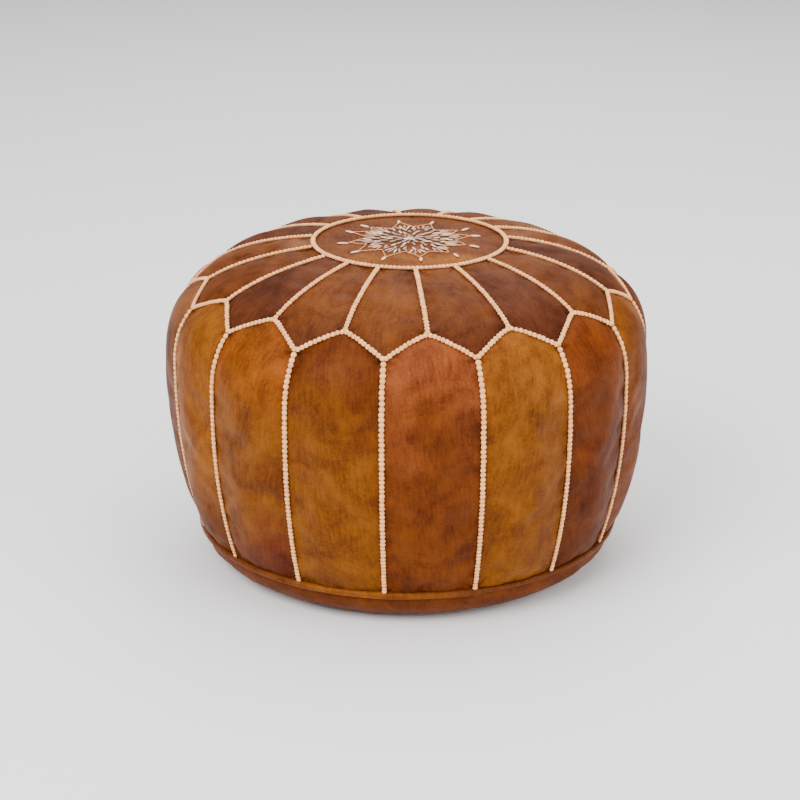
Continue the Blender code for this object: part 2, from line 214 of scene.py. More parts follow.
def noiseNode(place, scale, detail=3.0, roughness=0.5, distortion=0.0):
    sockets = {
        "Vector": place, "Scale": scale, "Detail": detail, "Roughness": roughness, "Distortion": distortion,
    }
    return addNode(place.id_data, "ShaderNodeTexNoise", sockets).outputs[0]


def cellNode(place, scale):
    return addNode(place.id_data, "ShaderNodeTexVoronoi", {"Vector": place, "Scale": scale}).outputs


def stretched(place, scales):
    return addNode(place.id_data, "ShaderNodeMapping", {"Vector": place, "Scale": scales}).outputs[0]


def objectPlace(tree):
    return addNode(tree, "ShaderNodeTexCoord").outputs["Object"]


def ownPlace(tree, name):
    return addNode(tree, "ShaderNodeUVMap", uv_map=name).outputs[0]


def layerOf(tree, name, output="Fac"):
    return addNode(tree, "ShaderNodeAttribute", attribute_name=name).outputs[output]


def newMaterial(name, **sockets):
    material = bpy.data.materials.new(name)
    material.use_nodes = True
    shader = material.node_tree.nodes["Principled BSDF"]
    for socket, value in sockets.items():
        shader.inputs[socket.replace("_", " ")].default_value = value
    return material, material.node_tree, shader


# scales are features per metre of hide, and heights are metres
tanning = {
    "clouds": 24.0,
    "blotches": 70.0,
    "streaks": (330.0, 62.0, 1.0),
    "mottle": 420.0,
    "specks": 210.0,
    "fleck": (0.05, 0.018, 0.008, 1.0),
    "grain": 950.0,
    "wrinkles": 300.0,
    "roughness": 0.54,
    "pucker": 0.00045,
    "puckerReach": 0.0042,
    "seamShade": 0.0042,
    # the seam tint is part real darkening of the leather and part painted shade beside the seams
    "seamDyeAndShade": (0.40, 0.28, 0.22, 1.0),
    "grainHeight": 0.00009,
    "wrinkleHeight": 0.00022,
    "blotchHeight": 0.0012,
}


def wire(shader, color, height, deep, strength, rough=None):
    # joins a material's color, relief and roughness to its shader
    tree = shader.id_data
    tree.links.new(color, shader.inputs["Base Color"])
    if rough is not None:
        tree.links.new(rough, shader.inputs["Roughness"])
    bump = addNode(tree, "ShaderNodeBump", {"Height": height, "Distance": deep, "Strength": strength})
    tree.links.new(bump.outputs[0], shader.inputs["Normal"])


def makeLeather(name, onHide=True, gloss=0.0):
    material, tree, shader = newMaterial(name, Roughness=0.45, Specular_IOR_Level=0.07)
    hide = ownPlace(tree, "hide") if onHide else objectPlace(tree)
    dye = layerOf(tree, "dye", "Color")
    gap = layerOf(tree, "seamGap")
    run = layerOf(tree, "stitchRun")

    clouds = noiseNode(hide, tanning["clouds"], 4.0, 0.55, 0.8)
    blotches = noiseNode(hide, tanning["blotches"], 5.0, 0.62, 0.4)
    streaks = noiseNode(stretched(hide, tanning["streaks"]), 1.0, 4.0, 0.62, 0.3)
    mottle = noiseNode(hide, tanning["mottle"], 3.0, 0.6)

    # how much dye each place took, from deep to pale
    depth = scaled(clouds, 1.15, -0.075)
    for pattern, share in ((blotches, 0.46), (streaks, 0.62), (mottle, 0.48)):
        depth = scaled(calc("SUBTRACT", pattern, 0.5), share, depth)
    tone = ramp(depth, [
        (0.12, (0.40, 0.27, 0.20)),
        (0.36, (0.76, 0.68, 0.62)),
        (0.52, (1.0, 1.0, 1.0)),
        (0.82, (1.38, 1.52, 1.45)),
    ])
    color = mixColors(tree, 1.0, dye, tone, "MULTIPLY")

    # dark flecks, thinly strewn
    cells = cellNode(hide, tanning["specks"])
    chosen = addNode(tree, "ShaderNodeSeparateColor", {0: cells["Color"]}).outputs[0]
    fleck = calc("LESS_THAN", cells["Distance"], scaled(chosen, 0.5, -0.28))
    color = mixColors(tree, times(fleck, 0.45), color, tanning["fleck"])

    # the leather is darker near the seams, partly where the thread pulls it in and partly a painted shade of
    # the seam valley, and duller there
    near = fading(gap, tanning["seamShade"])
    darker = mixColors(tree, 1.0, color, tanning["seamDyeAndShade"], "MULTIPLY")
    color = mixColors(tree, times(near, 0.28), color, darker)
    rough = scaled(depth, -0.16, tanning["roughness"] - gloss)
    rough = scaled(near, 0.15, scaled(mottle, 0.10, rough))

    # grain, fine wrinkles and the puckers between stitches, as one height in metres
    height = times(cellNode(hide, tanning["grain"])["Distance"], tanning["grainHeight"])
    wrinkles = calc("SUBTRACT", noiseNode(hide, tanning["wrinkles"], 3.0, 0.6, 1.2), 0.5)
    height = scaled(calc("ABSOLUTE", wrinkles), tanning["wrinkleHeight"], height)
    height = scaled(blotches, tanning["blotchHeight"], height)
    puckers = times(fading(gap, tanning["puckerReach"]), calc("SINE", times(run, fullTurn)))
    height = scaled(puckers, tanning["pucker"], height)
    wire(shader, color, height, 1.0, 1.0, rough)
    return material


def makeThread(name, ply=5.0):
    # cotton yarn, its plies running along each stitch
    material, tree, shader = newMaterial(name, Roughness=0.72, Specular_IOR_Level=0.16, Sheen_Weight=0.08)
    split = addNode(tree, "ShaderNodeSeparateXYZ", {0: ownPlace(tree, "yarn")}).outputs
    turned = scaled(split[1], 0.9, times(split[0], ply))
    plies = calc("SINE", times(turned, fullTurn))
    soil = noiseNode(objectPlace(tree), 160.0, 3.0, 0.6)
    # the colour follows the plies, lighter on their crowns and darker in the grooves between them, a painted
    # shade over the relief; the soil noise is grime
    shade = scaled(plies, 0.10, scaled(soil, 0.30, 0.80))
    wire(shader, shaded(layerOf(tree, "dye", "Color"), shade), plies, 0.00016, 0.8)
    return material


def makeCloth(name, color, weave, depth, stain):
    # plain weave: warp over weft, in square cells
    material, tree, shader = newMaterial(name, Roughness=0.88, Specular_IOR_Level=0.2, Sheen_Weight=0.2)
    place = objectPlace(tree)
    split = addNode(tree, "ShaderNodeSeparateXYZ", {0: place}).outputs
    waves = [calc("SINE", times(split[axis], fullTurn * weave)) for axis in range(3)]
    crossed = times(calc("ADD", waves[0], waves[2]), waves[1])
    patches = noiseNode(place, 45.0, 4.0, 0.6)
    # the colour follows the weave, lighter where the threads rise and darker between them, a painted shade
    # over the relief; the patches are stains
    shade = scaled(crossed, 0.08, scaled(patches, 0.4, 0.72))
    tinted = mixColors(tree, patches, (*color, 1.0), (*stain, 1.0))
    wire(shader, shaded(tinted, shade), crossed, depth, 0.7)
    return material


def makeBrass(name):
    material, tree, shader = newMaterial(name, Metallic=1.0, Roughness=0.3)
    place = objectPlace(tree)
    tarnish = noiseNode(place, 380.0, 4.0, 0.65)
    color = ramp(tarnish, [
        (0.3, (0.23, 0.13, 0.05)),
        (0.55, (0.62, 0.42, 0.17)),
        (0.8, (0.80, 0.60, 0.28)),
    ])
    scratches = noiseNode(stretched(place, (300.0, 2600.0, 2600.0)), 1.0, 2.0)
    wire(shader, color, scratches, 0.00004, 0.6, scaled(tarnish, -0.3, 0.5))
    return material


panelLeather = makeLeather("tanned_leather")
pipingLeather = makeLeather("rolled_leather", onHide=False, gloss=0.10)
seamYarn = makeThread("seam_yarn")
silkFloss = makeThread("embroidery_floss", ply=4.0)


# pieces: helpers


def stray(low, high):
    # what the hand leaves uneven
    return float(rng.uniform(low, high))


def laidDown(shape, name):
    # a finished shape, kept as a mesh
    mesh = bpy.data.meshes.new(name)
    shape.to_mesh(mesh)
    shape.free()
    return mesh


def joinInto(shape, mesh):
    shape.from_mesh(mesh)
    bpy.data.meshes.remove(mesh)


def newObject(name, data):
    made = bpy.data.objects.new(name, data)
    bpy.context.scene.collection.objects.link(made)
    return made


def pointsOf(shape):
    return np.array([corner.co for corner in shape.verts])


def setAttribute(mesh, name, values):
    kind, field = ("FLOAT_COLOR", "color") if np.ndim(values) == 2 else ("FLOAT", "value")
    layer = mesh.attributes.new(name, kind, "POINT")
    layer.data.foreach_set(field, np.ravel(values).astype(np.float32))


def setUv(mesh, name, places):
    corners = np.empty(len(mesh.loops), dtype=np.int32)
    mesh.loops.foreach_get("vertex_index", corners)
    layer = mesh.uv_layers.new(name=name)
    layer.uv.foreach_set("vector", places[corners].astype(np.float32).ravel())


def getPoints(mesh):
    places = np.empty(len(mesh.vertices) * 3, dtype=np.float32)
    mesh.vertices.foreach_get("co", places)
    return places.reshape(-1, 3).astype(float)


def setPoints(mesh, places):
    mesh.vertices.foreach_set("co", places.astype(np.float32).ravel())
    mesh.update()


def dress(piece, places, dye, gap, run=0.0):
    # puts the points in place, with what the leather reads at each of them
    setPoints(piece.data, places)
    setAttribute(piece.data, "dye", dye)
    setAttribute(piece.data, "seamGap", np.broadcast_to(gap, len(places)))
    setAttribute(piece.data, "stitchRun", np.broadcast_to(run, len(places)))


def addPiece(name, shape, material, body="cover", stands=()):
    piece = newObject(name, laidDown(shape, name))
    piece.data.shade_smooth()
    piece.data.materials.append(material)
    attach(piece, body)
    if stands:
        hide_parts(*stands)
    return piece


def soften(piece, rounds):
    smooth = piece.modifiers.new("Smooth", "SUBSURF")
    smooth.levels = rounds
    smooth.render_levels = rounds


def turnAbout(shape, geom, steps):
    # one full turn about the upright axis
    bmesh.ops.spin(
        shape, geom=geom, cent=(0, 0, 0), axis=(0, 0, 1), dvec=(0, 0, 0),
        angle=fullTurn, steps=steps, use_merge=True, use_duplicate=False,
    )


def turnedShape(profile, steps):
    # a profile of radius and height, turned and closed at its poles
    shape = bmesh.new()
    corners = [shape.verts.new((radius, 0.0, height)) for radius, height in profile]
    edges = [shape.edges.new(pair) for pair in zip(corners, corners[1:])]
    turnAbout(shape, corners + edges, steps)
    bmesh.ops.remove_doubles(shape, verts=shape.verts, dist=1e-6)
    return shape


def faceAlike(shape, upwards):
    # all the faces of a sheet look to one side of it: 1 for up, -1 for down
    bmesh.ops.recalc_face_normals(shape, faces=shape.faces)
    if sum(face.normal.z * face.calc_area() for face in shape.faces) * upwards < 0:
        bmesh.ops.reverse_faces(shape, faces=shape.faces)


def thicken(piece, thickness, offset=-1.0):
    wall = piece.modifiers.new("Thickness", "SOLIDIFY")
    wall.thickness = thickness
    wall.offset = offset


# the dyer's tints, linear
tints = {
    "honey": (0.196, 0.0575, 0.0040),
    "amber": (0.212, 0.0510, 0.0020),
    "ochre": (0.152, 0.0430, 0.0026),
    "rust": (0.110, 0.0232, 0.0012),
    "ember": (0.142, 0.0280, 0.0012),
    "rose": (0.190, 0.0440, 0.0095),
    "plum": (0.094, 0.0175, 0.0042),
    "tan": (0.128, 0.0330, 0.0050),
    "walnut": (0.106, 0.0265, 0.0040),
    "cocoa": (0.086, 0.0208, 0.0050),
    "umber": (0.074, 0.0168, 0.0044),
    "sand": (0.175, 0.0620, 0.0210),
    "russet": (0.078, 0.0150, 0.0008),
}

# each panel's tints from its upper end to its lower end
sideDyes = [
    "rose rust rust", "honey ochre ochre", "ember russet russet", "honey rust rust",
    "rust ember rust", "tan ochre walnut", "amber honey ochre", "rust rust plum",
    "honey ochre tan", "walnut rust rust", "ochre honey ochre", "rose ember rust",
    "sand walnut rust", "honey honey walnut", "amber ochre plum", "rust ochre ochre",
]
petalDyes = [
    "walnut tan walnut", "tan walnut umber", "walnut cocoa umber", "tan walnut walnut",
    "cocoa umber cocoa", "sand tan walnut", "tan sand tan", "rust walnut cocoa",
    "tan walnut tan", "umber umber umber", "walnut cocoa walnut", "umber cocoa umber",
    "sand tan tan", "walnut walnut walnut", "cocoa umber umber", "walnut tan cocoa",
]


def eased(share):
    return share * share * (3 - 2 * share)


def dyeAlong(names, share):
    # three tints met one after another along a share from 0 to 1
    first, middle, last = (np.array(tints[name]) for name in names.split())
    place = np.clip(share, 0.0, 1.0)[:, None] * 2
    upper, lower = (eased(np.clip(place - start, 0.0, 1.0)) for start in (0, 1))
    blended = first + (middle - first) * upper + (last - middle) * lower
    return np.hstack((blended, np.ones((len(blended), 1))))


# the leather panels

panel = {
    "sideColumns": 26,
    "sideRows": 62,
    "petalColumns": 26,
    "petalRows": 30,
    "wall": 0.0014,
    "puff": 0.0042,
    "petalPuff": 0.0026,
    "sink": 0.0013,
    "reach": 0.014,
    "edgeGap": 0.0005,
    "underRing": 0.0007,
    "underPiping": 0.0012,
    "tuck": 0.0026,  # the turned-in edge goes this far below the seam
    "folds": 0.0018,
    "foldLength": 0.016,
    "foldStretch": 22.0,
    "foldStart": 0.003,
    "foldReach": 0.014,
    "dents": 0.0012,
    "dentScale": 17.0,
    "lean": 10.0,  # degrees: how far the hide may be turned on a panel
    "stitch": 0.0046,
}


def fullness(gaps):
    full = 1.0
    for gap in gaps:
        full = full * (1.0 - np.exp(-np.maximum(gap, 0.0) / panel["reach"]))
    return full


def makePanel(name, middle, size, puff, topEdge, bottomEdge, dyes, seed):
    shape = bmesh.new()
    bmesh.ops.create_grid(shape, x_segments=size[0], y_segments=size[1], size=1.0)
    tuck = shape.verts.layers.float.new("tuck")
    for depth in (0.6, 1.0):  # the edges turn in under the seam
        border = [edge for edge in shape.edges if edge.is_boundary]
        turned = bmesh.ops.extrude_edge_only(shape, edges=border)["geom"]
        for corner in turned:
            if isinstance(corner, bmesh.types.BMVert):
                corner[tuck] = depth
    grid = pointsOf(shape)
    tucked = np.array([corner[tuck] for corner in shape.verts])
    shape.verts.layers.float.remove(tuck)
    across, down = grid[:, 0], (1 - grid[:, 1]) / 2
    across = 1.25 * across - 0.25 * across ** 3
    down = 0.45 * down + 0.55 * down * down * (3 - 2 * down)

    start = topEdge(across)
    end = bottomEdge(across)
    distance = start + (end - start) * down
    halfWidth = outlineAt(distance)[0] * halfPitch
    azimuth = middle + across * (pitch / 2) * (1 - panel["edgeGap"] / halfWidth)
    sideGap = (1 - np.abs(across)) * halfWidth
    topGap = (distance - start) * math.cos(zigzagSlope)
    bottomGap = end - distance
    full = fullness((sideGap, topGap, bottomGap))
    lift = -panel["sink"] + (panel["sink"] + puff) * full - panel["tuck"] * tucked

    endGap = np.minimum(topGap, bottomGap)
    gap = np.minimum(sideGap, endGap)
    alongEnds = across * halfWidth / math.cos(zigzagSlope) / panel["stitch"]
    run = np.where(sideGap < endGap, distance / panel["stitch"], alongEnds)

    # small pulls run inwards from the seams, and the filling presses broad shallow dents
    seeds = np.full_like(run, seed)
    folds = run * panel["stitch"] / panel["foldLength"]
    foldLine = np.stack((folds, gap * panel["foldStretch"], seeds), axis=1)
    pulls = noiseAt(foldLine, 1.0, seed) * panel["folds"]
    lift += pulls * np.exp(-gap / panel["foldReach"]) * (1 - np.exp(-gap / panel["foldStart"]))
    x, y = across * halfWidth, distance
    flat = np.stack((x, y, seeds), axis=1)
    lift += noiseAt(flat, panel["dentScale"], seed) * panel["dents"] * full
    uneven = noiseAt(flat, 14.0, seed + 40.0) * 0.28 + noiseAt(flat, 48.0, seed + 80.0) * 0.12

    piece = addPiece(name + "_leather", shape, panelLeather, stands=(name,))
    places = coverPoint(azimuth, distance, lift)
    dress(piece, places, dyeAlong(dyes, down + uneven), gap, run)
    lean = math.radians(panel["lean"] * math.sin(seed * 2.4))
    turnedX = x * math.cos(lean) - y * math.sin(lean)
    turnedY = x * math.sin(lean) + y * math.cos(lean)
    setUv(piece.data, "hide", np.stack((turnedX, turnedY), axis=1) + np.array((seed * 1.37, seed * 0.71)))
    held = np.flatnonzero((tucked > 0) | (gap < 1e-6))
    piece.vertex_groups.new(name="sewn").add(held.tolist(), 1.0, "REPLACE")
    return piece


def makePanels():
    ringEdge = ringAt + panel["underRing"]
    weltEdge = weltAt - panel["underPiping"]
    edgeGap = panel["edgeGap"] / math.cos(zigzagSlope)
    petalSize = (panel["petalColumns"], panel["petalRows"])
    sideSize = (panel["sideColumns"], panel["sideRows"])
    made = []
    for index in range(cover["panels"]):
        made.append(makePanel(
            f"top_petal_{index + 1:02d}", seamAzimuth(index), petalSize, panel["petalPuff"],
            lambda across: np.full_like(across, ringEdge),
            lambda across: archAt(1 - np.abs(across)) - edgeGap,
            petalDyes[index], index + 20.0,
        ))
        made.append(makePanel(
            f"side_panel_{index + 1:02d}", seamAzimuth(index + 0.5), sideSize, panel["puff"],
            lambda across: archAt(across) + edgeGap,
            lambda across: np.full_like(across, weltEdge),
            sideDyes[index], index + 1.0,
        ))
    return made


# the stuffed cover swells between its seams
swelling = {
    "frames": 20,
    "cap": 0.0040,
    "leather": {
        "quality": 5,
        "mass": 0.3,
        "tension_stiffness": 40.0,
        "compression_stiffness": 40.0,
        "shear_stiffness": 20.0,
        "bending_stiffness": 8.0,
        "use_pressure": True,
        "uniform_pressure_force": 3.0,
        "shrink_min": -0.012,
        "vertex_group_mass": "sewn",
    },
}


def swell(pieces):
    together = bmesh.new()
    held = []
    for piece in pieces:
        first = len(together.verts)
        held += [v.index + first for v in piece.data.vertices if any(g.weight > 0.5 for g in v.groups)]
        together.from_mesh(piece.data)
    whole = newObject("swelling", laidDown(together, "swelling"))
    whole.vertex_groups.new(name="sewn").add(held, 1.0, "REPLACE")
    cloth = whole.modifiers.new("Cloth", "CLOTH")
    for name, value in swelling["leather"].items():
        setattr(cloth.settings, name, value)
    cloth.settings.effector_weights.gravity = 0.0
    cloth.collision_settings.use_collision = False
    cloth.collision_settings.use_self_collision = False
    cloth.point_cache.frame_start = 1
    cloth.point_cache.frame_end = swelling["frames"]
    scene = bpy.context.scene
    for step in range(1, swelling["frames"] + 1):
        scene.frame_set(step)
    settled = whole.evaluated_get(bpy.context.evaluated_depsgraph_get())
    before = getPoints(whole.data)
    moved = getPoints(settled.data) - before
    far = np.linalg.norm(moved, axis=1)
    print("swelling: moves in mm, largest and mean:", round(far.max() * 1000, 2), round(far.mean() * 1000, 2))
    moved *= np.minimum(1.0, swelling["cap"] / np.maximum(far, 1e-9))[:, None]
    first = 0
    for piece in pieces:
        last = first + len(piece.data.vertices)
        setPoints(piece.data, before[first:last] + moved[first:last])
        first = last
    scene.frame_set(1)
    bpy.data.objects.remove(whole)


panels = makePanels()
print("panels made:", len(panels))
swell(panels)
for piece in panels:
    thicken(piece, panel["wall"])
    soften(piece, 1)


# the round medallion on the crown

crownTop = {
    "rings": 34,
    "turns": 144,
    "sink": 0.0016,
    "dome": -0.0030,  # worn a little flat by sitting
    "wall": 0.0014,
    "edge": 0.0995,
    "tuck": 0.0013,
    "ripples": ((26.0, 3.0, 0.0011), (75.0, 5.0, 0.0004)),  # scale, seed and height
    "paleSpots": (0.052, -0.064, 0.020),  # to each side, towards the front, reach
}
crownTurn = math.radians(cover["shiftTowards"])
crownCentre = np.array((math.sin(crownTurn), -math.cos(crownTurn))) * cover["crownShift"]


def medallionHeight(x, y):
    # the height of the leather over a place on the crown
    far = np.hypot(x, y)
    gap = cover["ringRadius"] - np.hypot(x - crownCentre[0], y - crownCentre[1])
    full = fullness((gap,))
    lift = -crownTop["sink"] + (crownTop["sink"] + crownTop["dome"]) * full
    return np.interp(far, outRadius[onCrown], outHeight[onCrown]) + lift


def makeMedallion():
    share = np.linspace(0.0, 1.0, crownTop["rings"])
    edge = crownTop["edge"]
    radii = edge * (0.55 * share + 0.45 * np.sin(share * math.pi / 2))
    profile = [(radius, 0.0) for radius in (*radii, edge + 0.0001, edge + 0.0002)]
    shape = turnedShape(profile, crownTop["turns"])
    faceAlike(shape, 1)
    places = pointsOf(shape)
    far = np.hypot(places[:, 0], places[:, 1])
    turned = np.clip((far - edge) / 0.0001, 0.0, 2.0)
    x, y = places[:, 0] + crownCentre[0], places[:, 1] + crownCentre[1]
    flat = np.stack((x, y, x * 0), axis=1)
    ripple = sum(noiseAt(flat, scale, seed) * height for scale, seed, height in crownTop["ripples"])
    z = medallionHeight(x, y) + ripple * np.clip((0.096 - far) / 0.02, 0, 1) - turned * crownTop["tuck"]
    spotX, spotY, reach = crownTop["paleSpots"]
    front = np.clip((-y - 0.02) / 0.08, 0.0, 1.0) * 0.30
    front += 0.60 * np.exp(-((np.abs(x) - spotX) ** 2 + (y - spotY) ** 2) / reach ** 2)
    dye = dyeAlong("tan tan honey", 0.42 + front + noiseAt(flat, 16.0, 9.0) * 0.5)
    stitches = round(fullTurn * cover["ringRadius"] / panel["stitch"])
    run = np.arctan2(places[:, 0], -places[:, 1]) * stitches / fullTurn
    piece = addPiece("medallion_leather", shape, panelLeather, stands=("medallion",))
    # the edge by the ring seam gets the seam darkening, part real darkening and part painted shade
    dress(piece, np.stack((x, y, z), axis=1), dye, np.maximum(cover["ringRadius"] - far, 0.0), run)
    setUv(piece.data, "hide", np.stack((x, y), axis=1) + 9.0)
    thicken(piece, crownTop["wall"])
    soften(piece, 1)


makeMedallion()
print("medallion made")


# the whipped seams: thick yarn wrapped over the joint, one wrap beside the next

whipping = {
    "pitch": 0.0046,
    "acrossHalf": 0.0027,
    "alongHalf": 0.0026,
    "proudHalf": 0.0018,
    "rise": 0.0006,
    "core": 0.0017,
    "lean": 10.0,  # degrees
    "leanZigzag": 24.0,
    "jitter": 0.07,
    "stretch": 24,  # wraps made at a time
    "ringSlim": 0.97,
    "petalSlim": 0.95,
    "zigzagSlim": 0.98,
    "sideSlims": (1.17, 0.87),  # wraps draw closer together towards the foot
    "cream": (1.00, 0.52, 0.220),
    "peach": (1.00, 0.40, 0.150),
    "coreTone": (0.62, 0.26, 0.09),
}


def tint(shape, corners, tone):
    layer = shape.verts.layers.float_color["dye"]
    for corner in corners:
        corner[layer] = (*tone, 1.0)


def stitchAt(shape, place, along, outward, sizes, lean, tone):
    # one wrap of yarn; its length lies across the seam
    side = along.cross(outward).normalized()
    along = outward.cross(side).normalized()
    turned = Matrix.Rotation(lean, 3, outward)
    axes = Matrix((turned @ along * sizes[0], outward * sizes[1], turned @ side * sizes[2])).transposed()
    made = bmesh.ops.create_uvsphere(
        shape, u_segments=8, v_segments=6, radius=1.0, calc_uvs=True,
        matrix=Matrix.Translation(place) @ axes.to_4x4(),
    )
    tint(shape, made["verts"], tone)


def newYarn():
    shape = bmesh.new()
    shape.loops.layers.uv.new("yarn")
    shape.verts.layers.float_color.new("dye")
    return shape


def joinStretches(stretches):
    whole = newYarn()
    for mesh in stretches:
        joinInto(whole, mesh)
    return whole


def yarnTone():
    mix = float(np.clip(rng.normal(0.35, 0.28), 0.0, 1.0))
    cream, peach = np.array(whipping["cream"]), np.array(whipping["peach"])
    return (cream + (peach - cream) * mix) * stray(0.90, 1.03)


def whipAlong(azimuths, distances, lean, slims, closed=False):
    # wraps follow a seam given by close places on the cover; they may slim from one end to the other
    places = coverPoint(azimuths, distances)
    outwards = outwardAt(azimuths, distances)
    run = np.concatenate(([0.0], np.cumsum(np.linalg.norm(np.diff(places, axis=0), axis=1))))
    slims = np.broadcast_to(slims, (2,))
    count = max(1, round(run[-1] / (whipping["pitch"] * float(slims.mean()))))
    shares = np.concatenate(([0.0], np.cumsum(np.linspace(slims[0], slims[1], count))))
    shares = shares / shares[-1] * run[-1]

    def rowAt(rows, at):
        return Vector([np.interp(at, run, rows[:, axis]) for axis in range(3)])

    stretches = []
    shape = newYarn()
    for index in range(count):
        if (index + 1) % whipping["stretch"] == 0:
            stretches.append(laidDown(shape, "stretch"))
            shape = newYarn()
        span = shares[index + 1] - shares[index]
        at = shares[index] + (0.5 + stray(-1, 1) * whipping["jitter"]) * span
        behind, ahead = rowAt(places, at - 0.001), rowAt(places, at + 0.001)
        outward = rowAt(outwards, at).normalized()
        grown = stray(0.93, 1.07)
        thin = span / whipping["pitch"]
        sizes = (
            whipping["alongHalf"] * thin * stray(0.96, 1.08),
            whipping["proudHalf"] * thin ** 0.5 * grown,
            whipping["acrossHalf"] * thin ** 0.5 * grown,
        )
        sway = math.radians(lean + stray(-5, 5))
        middle = (behind + ahead) / 2 + outward * whipping["rise"]
        middle += outward.cross(ahead - behind).normalized() * stray(-0.0002, 0.0002)
        stitchAt(shape, middle, (ahead - behind).normalized(), outward, sizes, sway, yarnTone())
    stretches.append(laidDown(shape, "stretch"))
    stretches.append(coreOf(places, closed))
    return stretches


def coreOf(places, closed):
    # the folded leather edges and yarn ends that the wraps cover
    path = places[:-1] if closed else places
    curve = bpy.data.curves.new("core", "CURVE")
    curve.dimensions = "3D"
    curve.bevel_depth = whipping["core"]
    curve.bevel_resolution = 1
    curve.use_fill_caps = not closed
    spline = curve.splines.new("POLY")
    spline.points.add(len(path) - 1)
    spline.use_cyclic_u = closed
    for point, place in zip(spline.points, path):
        point.co = (*place, 1.0)
    holder = bpy.data.objects.new("core", curve)
    shape = newYarn()
    joinInto(shape, bpy.data.meshes.new_from_object(holder))
    bmesh.ops.remove_doubles(shape, verts=shape.verts, dist=1e-6)
    tint(shape, shape.verts, whipping["coreTone"])
    bpy.data.objects.remove(holder)
    bpy.data.curves.remove(curve)
    return laidDown(shape, "core")


def makeSeams():
    lean = whipping["lean"]
    turns = np.linspace(0.0, 360.0, 289)
    ring = whipAlong(turns, np.full_like(turns, ringAt), lean, whipping["ringSlim"], closed=True)
    addPiece("medallion_stitching", joinStretches(ring), seamYarn, stands=("medallion_seam",))

    crown = []
    for index in range(cover["panels"]):
        # the seam between two petals, then both legs of the arch at its end
        distances = np.linspace(ringAt + 0.0030, apexAt - 0.0012, 40)
        azimuths = np.full_like(distances, seamAzimuth(index + 0.5))
        crown += whipAlong(azimuths, distances, lean, whipping["petalSlim"])
        for side in (-1, 1):
            share = np.linspace(0.0, 1.0, 24)
            azimuths = seamAzimuth(index + 0.5) + side * share * pitch / 2
            crown += whipAlong(azimuths, archAt(share), side * whipping["leanZigzag"], whipping["zigzagSlim"])
    addPiece("crown_stitching", joinStretches(crown), seamYarn, stands=("crown_seam",))

    for index in range(cover["panels"]):
        distances = np.linspace(valleyAt + 0.0018, weltAt - cover["weltPipe"] * 0.8, 90)
        azimuths = np.full_like(distances, seamAzimuth(index))
        seam = joinStretches(whipAlong(azimuths, distances, lean, whipping["sideSlims"]))
        addPiece(f"side_stitching_{index + 1:02d}", seam, seamYarn, stands=(f"side_seam_{index + 1:02d}",))


makeSeams()
print("seams whipped")


# embroidery on the medallion: a rosette, rows of short stitches, fans, a pointed star and drops

floss = {
    "silver": (0.46, 0.31, 0.24),
    "white": (0.96, 0.66, 0.46),
    "pink": (0.82, 0.42, 0.28),
    "peach": (0.86, 0.38, 0.14),
    "mixed": ("silver", "white", "pink", "white", "silver"),
    "rise": 0.0009,
    "back": -0.0015,  # the design sits this far behind the middle
    "points": 12,
    "rows": 4,
    "firstRow": 0.0120,
    "rowStep": 0.0078,
    "rowCount": 10,  # stitches in the first row
    "rowMore": 4,
    "missing": 0.08,
    "fanRadius": 0.0475,
    "fanLength": 0.0165,
    "tip": 0.0640,
    "dip": 0.0455,
    "line": 0.0013,
    "lineStitch": 0.0045,
    "dropRadius": 0.0705,
    "dropSize": (0.0125, 0.0036),
}


def satinStitch(shape, radius, angle, size, tone, turn=0.0, proud=0.0007):
    # one flat stitch, centred at a radius and angle on the medallion, pointing outwards plus a turn
    x = crownCentre[0] + radius * math.sin(angle)
    y = crownCentre[1] + floss["back"] - radius * math.cos(angle)
    z = float(medallionHeight(np.array(x), np.array(y))) + floss["rise"] + stray(0, 0.0003)
    heading = angle + turn
    along = Vector((-math.cos(heading), -math.sin(heading), 0.0))  # stitches lie across this
    shade = np.array(floss[tone]) * stray(0.85, 1.08)
    length, width = size
    stitchAt(shape, Vector((x, y, z)), along, Vector((0, 0, 1)), (width / 2, proud, length / 2), 0.0, shade)


def straightRun(shape, start, end):
    # a line of running stitches between two (radius, angle) places
    first, last = (np.array((r * math.sin(a), -r * math.cos(a))) for r, a in (start, end))
    length = float(np.linalg.norm(last - first))
    count = max(2, round(length / floss["lineStitch"]))
    heading = math.atan2(last[0] - first[0], first[1] - last[1])
    size = (length / count * 1.05, floss["line"])
    for index in range(count):
        x, y = first + (last - first) * (index + 0.5) / count
        angle = math.atan2(x, -y)
        satinStitch(shape, math.hypot(x, y), angle, size, "peach", heading - angle, 0.0006)


def anyTone():
    return floss["mixed"][int(rng.integers(len(floss["mixed"])))]


